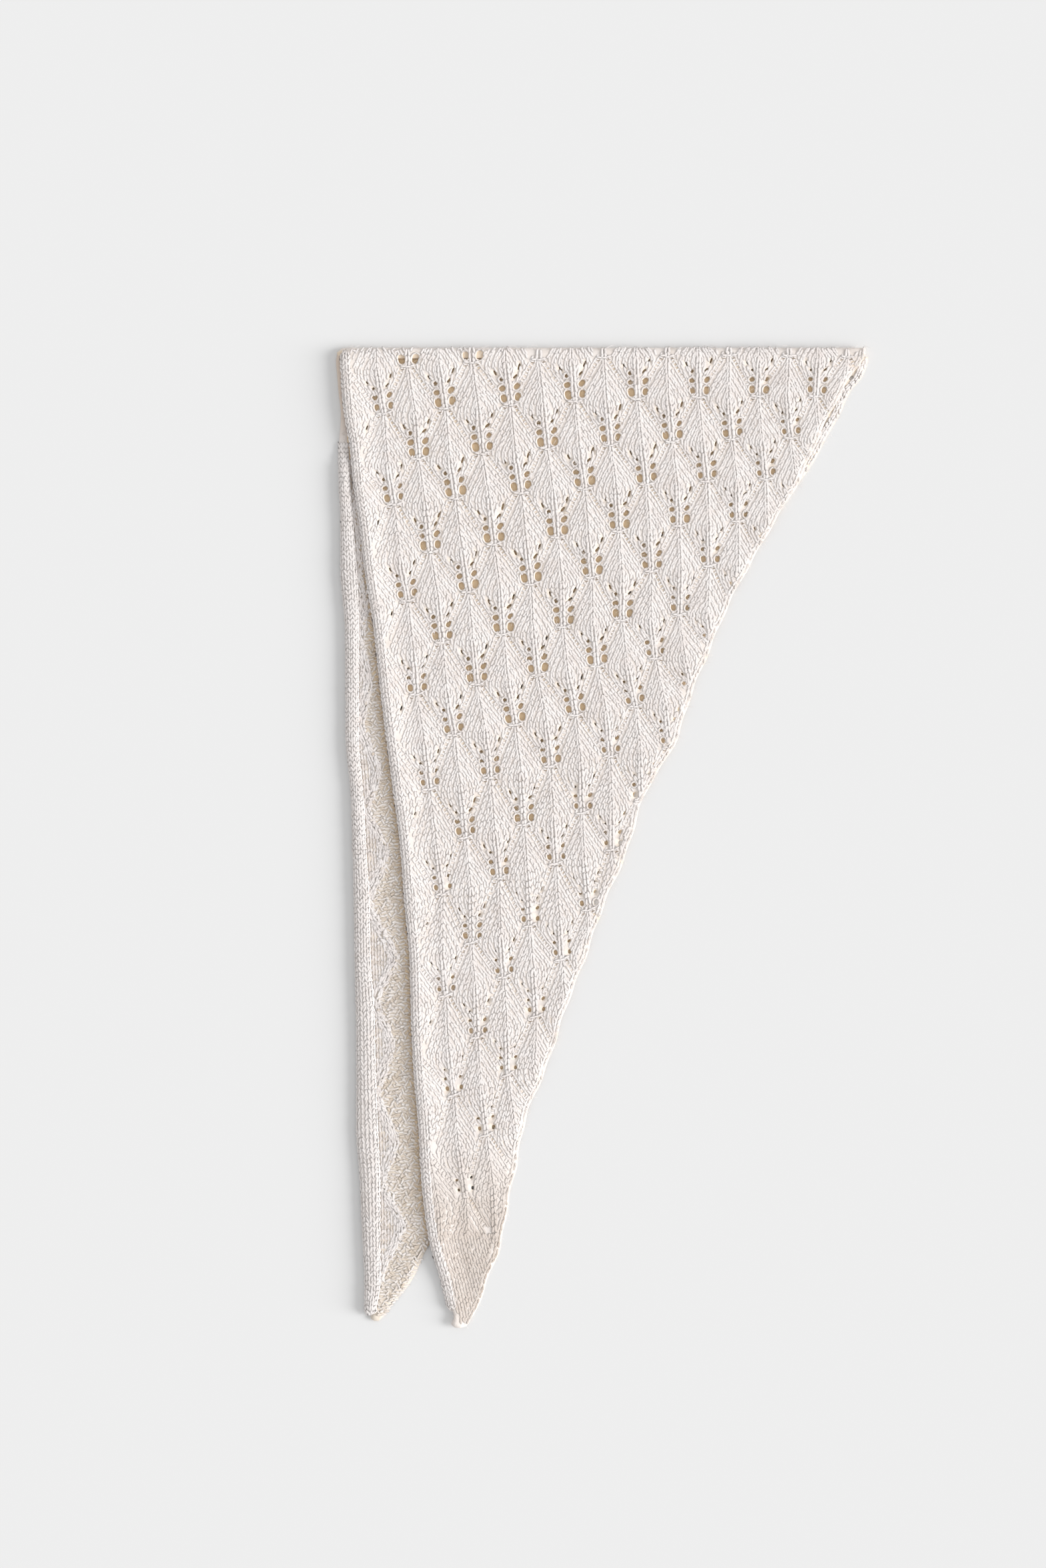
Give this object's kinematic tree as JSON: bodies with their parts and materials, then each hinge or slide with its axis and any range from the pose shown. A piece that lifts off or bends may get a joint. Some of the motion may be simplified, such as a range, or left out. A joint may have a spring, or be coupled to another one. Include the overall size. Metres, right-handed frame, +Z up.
{
  "type": "folded openwork knitted scarf",
  "caption": "Triangular leaf-lace knitted scarf, folded in half and laid flat, with curled long edges, a rounded fold and tapering tips.",
  "frame": {"origin": "centre of the bounding box in plan, on the surface the scarf lies on", "axes": "+Z up from the surface, +Y from the two tips towards the fold, +X from the curled long edges towards the diagonal edge"},
  "size_m": [0.4776, 0.8808, 0.0089],
  "materials": {
    "lace_right_side": "brushed oatmeal melange knit, right side, matte with a soft halo",
    "lace_wrong_side": "brushed oatmeal melange knit, wrong side, matte, purl bumps",
    "edge_band": "brushed oatmeal melange knit, smooth wales curled over the edge"
  },
  "bodies": {
    "root": {"front_layer": "lace_right_side", "back_layer": "lace_wrong_side", "top_fold": "lace_right_side", "front_edge_curl": "edge_band", "back_edge_curl": "edge_band"}
  },
  "joints": []
}
